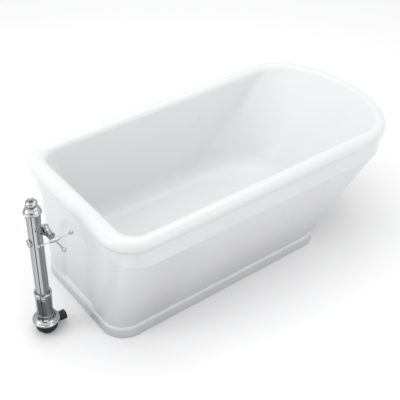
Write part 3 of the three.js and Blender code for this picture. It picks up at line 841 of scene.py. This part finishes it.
def make_valve_body():
    """An upright barrel with a boss to the front, seated on the tube."""
    spindle = centre_of("valve_spindle")
    middle = Vector((spindle.x, PIPE.translation.y, spindle.z))
    end = [(11, 23, 1.5), (12, 20, 1.5), (14, 17, 2)]
    foot = [(r, -z, radius) for r, z, radius in end]
    outline = [(0, -23), *foot, *reversed(end), (0, 23)]
    barrel = bmesh.new()
    turn(barrel, eased(in_mm(outline), 1 * MM), Matrix.Translation(middle))
    body = to_object("valve_body_turned", barrel)
    groove = [(14.5, 21, 1), (13.4, 23, 0.6), (13.4, 25, 0.6), (14.5, 27, 1)]
    outline = [(0, 0), (14.5, 0), *groove, (14.5, 30, 1), (0, 30)]
    boss = bmesh.new()
    turn(boss, eased(in_mm(outline), 0.6 * MM), Matrix.Translation(middle) @ toward(FRONT))
    combine(body, to_object("valve_boss", boss), "UNION")
    combine(body, saddle("valve_saddle", middle.z), "DIFFERENCE")
    finish_piece(body, "valve_body")


def make_spindle():
    low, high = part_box("valve_spindle")
    spindle = centre_of("valve_spindle")
    length = (high.y - low.y) / MM
    base = Matrix.Translation((spindle.x, high.y, spindle.z)) @ toward(FRONT)
    groove = [(5.5, length - 12), (4.6, length - 11), (4.6, length - 9), (5.5, length - 8)]
    outline = [(0, 0), (5.5, 0), *groove, (5.5, length), (0, length)]
    turned_piece("valve_spindle_turned", "valve_spindle", outline, base, 0.3, 48)


def make_gland_nut():
    """A six-sided nut with chamfered corners, standing on its CAD node's near face."""
    low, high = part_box("valve_gland_nut")
    way = Vector(FRONT)
    length = abs((high - low).dot(way))
    base = Matrix.Translation(centre_of("valve_gland_nut") - way * length / 2) @ toward(FRONT)
    reach, bore, chamfer = 17 * MM, 6.1 * MM, 1.2 * MM
    sector, points = math.pi / 3, 48
    bm = bmesh.new()

    def ring(radius, z, widest):
        """One ring: the hexagon's outline scaled from widest, kept inside radius."""
        made = []
        for i in range(points):
            a = 2 * math.pi * i / points
            hexagon = widest * math.cos(sector / 2) / math.cos(a % sector - sector / 2)
            r = min(radius, hexagon)
            made.append(bm.verts.new(base @ Vector((r * math.cos(a), r * math.sin(a), z))))
        return made

    open_wide = 2 * reach
    rings = [
        ring(reach - chamfer, 0.0, reach),
        ring(reach, chamfer, reach),
        ring(reach, length - chamfer, reach),
        ring(reach - chamfer, length, reach),
        ring(bore, length, open_wide),
        ring(bore, 0.0, open_wide),
    ]
    for near, far in zip(rings, rings[1:] + rings[:1]):
        for i in range(points):
            j = (i + 1) % points
            bm.faces.new((near[i], near[j], far[j], far[i]))
    piece("valve_gland_nut_cut", bm, "valve_gland_nut")


def make_hub():
    low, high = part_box("handle_hub")
    half = (high.x - low.x) / 2 / MM
    collar = [(8.5, half - 3, 0.8), (8.5, half - 7, 0.8), (7.6, half - 8, 1)]
    end = [(6.2, half), (6.2, half - 2.5, 0.4), *collar]
    start = [(r, -z, *own) for r, z, *own in end]
    outline = [(0, -half), *start, *reversed(end), (0, half)]
    place = Matrix.Translation(centre_of("handle_hub")) @ toward(BATH_SIDE)
    turned_piece("handle_hub_turned", "handle_hub", outline, place, 0.5)


def make_arm(label, way):
    """One arm of the handle, waisted in the middle, and the ball on its end."""
    arm, tip = f"handle_arm_{label}", f"handle_ball_{label}"
    direction = Vector(way)
    low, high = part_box(arm)
    length = abs((high - low).dot(direction)) / MM
    base = Matrix.Translation(centre_of(arm) - direction * length * MM / 2) @ toward(way)
    root = [(0, 0), (5, 0), (5, 2.5, 0.5), (3.2, 4, 0.8)]
    collar = [(3.2, length - 4, 0.8), (4.6, length - 2.5, 0.5), (4.6, length), (0, length)]
    outline = [*root, (2.9, length / 2, 10), *collar]
    turned_piece(f"{arm}_turned", arm, outline, base, 0.4, 48)
    make_ball(tip, way)


def make_ball(tip, way):
    low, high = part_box(tip)
    radius = (high.z - low.z) / 2 / MM
    steps = 28
    angles = [math.pi * i / steps for i in range(1, steps)]
    points = [(radius * math.sin(a), -radius * math.cos(a)) for a in angles]
    points = [(0, points[0][1] + 0.05)] + points + [(0, points[-1][1] - 0.05)]
    bm = bmesh.new()
    turn(bm, in_mm(points), Matrix.Translation(centre_of(tip)) @ toward(way), 64)
    piece(f"{tip}_turned", bm, tip)


def make_handle():
    make_hub()
    make_arm("bath_side", BATH_SIDE)
    make_arm("outer_side", OUTER_SIDE)
    make_arm("front", FRONT)


def make_blanking_plug():
    low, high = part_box("blanking_plug")
    centre = centre_of("blanking_plug")
    base = Matrix.Translation((high.x, centre.y, centre.z)) @ toward(OUTER_SIDE)
    length = (high.x - low.x) / MM
    head = [(15, length - 6.5, 0.5), (17.5, length - 5.5, 0.8), (17, length - 1.6, 1.5), (12, length, 2)]
    bm = bmesh.new()
    turn(bm, eased(in_mm([(0, 0), (15, 0), *head, (0, length)]), 0.5 * MM), base)
    plug = to_object("tube_blanking_plug", bm)
    combine(plug, saddle("plug_saddle", centre.z), "DIFFERENCE")
    finish_piece(plug, "blanking_plug")


def make_valve():
    make_valve_body()
    make_gland_nut()
    make_spindle()
    make_handle()
    make_blanking_plug()


# ------------------------------------------------------------------ stage and light
def make_floor():
    """A pale floor, which throws less light onto the bath from close by than it shows."""
    bm = bmesh.new()
    bmesh.ops.create_grid(bm, x_segments=1, y_segments=1, size=14.0)
    floor = to_object("studio_floor", bm)
    floor.location.z = -0.5 * MM
    s = Surface("floor_white", (0.95, 0.95, 0.95), Roughness=0.9)
    s.shader.inputs["Specular IOR Level"].default_value = 0.0
    paths = s.node("ShaderNodeLightPath")
    spread = s.node("ShaderNodeTexGradient", gradient_type="SPHERICAL")
    s.link(s.mapped((0.62, 0.95, 1.0)), spread.inputs["Vector"])
    seen = s.ramp(spread.outputs["Fac"], [(0.0, (0.9, 0.9, 0.9)), (0.6, (0.03, 0.03, 0.03))])
    pick = s.node("ShaderNodeMix", data_type="RGBA")
    s.link(paths.outputs["Is Diffuse Ray"], pick.inputs["Factor"])
    pick.inputs[6].default_value = (0.96, 0.96, 0.96, 1.0)
    s.link(seen, pick.inputs[7])
    s.link(pick.outputs[2], s.shader.inputs["Base Color"])
    floor.data.materials.append(s.material)


CARD_HEIGHT = 1.5 * MM


def seen_by_reflections_only(made, paint_name, shade):
    s = Surface(paint_name, (shade, shade, shade), Roughness=1.0)
    s.shader.inputs["Specular IOR Level"].default_value = 0.0
    made.data.materials.append(s.material)
    made.visible_camera = False
    made.visible_diffuse = False
    made.visible_shadow = False


def make_card(name, turn_degrees, half_degrees, near, far, shade):
    """A grey sector of the floor round the standpipe, which the chrome shows as an upright band."""
    foot = PIPE.translation
    heading = math.atan2(CAMERA_PLACE.y - foot.y, CAMERA_PLACE.x - foot.x) + math.radians(turn_degrees)
    half_angle = math.radians(half_degrees)
    arc = [heading + half_angle * step / 10 for step in range(-10, 11)]
    corners = [(near, a) for a in arc] + [(far, a) for a in reversed(arc)]
    bm = bmesh.new()
    for reach, a in corners:
        bm.verts.new((foot.x + reach * math.cos(a), foot.y + reach * math.sin(a), CARD_HEIGHT))
    bm.faces.new(list(bm.verts))
    seen_by_reflections_only(to_object(name, bm), f"{name}_paint", shade)


def make_backdrop():
    """An upright dark panel far behind the camera, which the dome and the ball reflect."""
    foot = PIPE.translation
    away = Vector((CAMERA_PLACE.x - foot.x, CAMERA_PLACE.y - foot.y, 0.0)).normalized()
    across = Vector((-away.y, away.x, 0.0))
    middle = Vector((foot.x, foot.y, 0.9)) + away * 4.6
    span = ((-3.2, -0.9), (0.4, -0.9), (0.4, 1.9), (-3.2, 1.9))
    bm = bmesh.new()
    corners = [middle + across * x + Vector((0, 0, z)) for x, z in span]
    bm.faces.new([bm.verts.new(corner) for corner in corners])
    seen_by_reflections_only(to_object("dark_backdrop", bm), "backdrop_black", 0.01)


def area_light(name, place, target, size, power):
    data = bpy.data.lights.new(name, "AREA")
    data.shape = "RECTANGLE"
    data.size, data.size_y = size
    data.energy = power
    light = bpy.data.objects.new(name, data)
    light.location = place
    light.rotation_mode = "QUATERNION"
    light.rotation_quaternion = (Vector(target) - Vector(place)).to_track_quat("-Z", "Y")
    SCENE.collection.objects.link(light)


def make_light():
    world = bpy.data.worlds.new("studio")
    world.use_nodes = True
    background = world.node_tree.nodes["Background"]
    background.inputs["Color"].default_value = (0.99, 0.99, 1.0, 1.0)
    background.inputs["Strength"].default_value = 0.88
    SCENE.world = world
    area_light("top_softbox", (0.2, 0.4, 3.4), (0.0, 0.0, 0.3), (3.2, 2.4), 30)
    area_light("left_softbox", (-3.2, 0.8, 2.0), (0.0, 0.0, 0.4), (1.6, 2.2), 22)
    area_light("near_softbox", (0.9, -3.6, 1.6), (0.1, 0.0, 0.3), (2.4, 1.8), 13)


make_basin()
make_skirt()
make_base_tee()
make_standpipe()
make_valve()

for node, cad in frame["nodes"].items():
    if not cad.data.materials:
        cad.data.materials.append(None)
    for index in range(len(cad.data.materials)):
        cad.data.materials[index] = MATERIALS[SLOT_OF[node]]

make_floor()
make_card("card_line", turn_degrees=-35, half_degrees=7, near=0.08, far=0.95, shade=0.01)
make_card("card_band", turn_degrees=50, half_degrees=34, near=0.08, far=0.9, shade=0.4)
make_card("card_foot", turn_degrees=0, half_degrees=100, near=0.06, far=0.22, shade=0.22)
make_backdrop()
make_light()

bpy.context.view_layer.update()
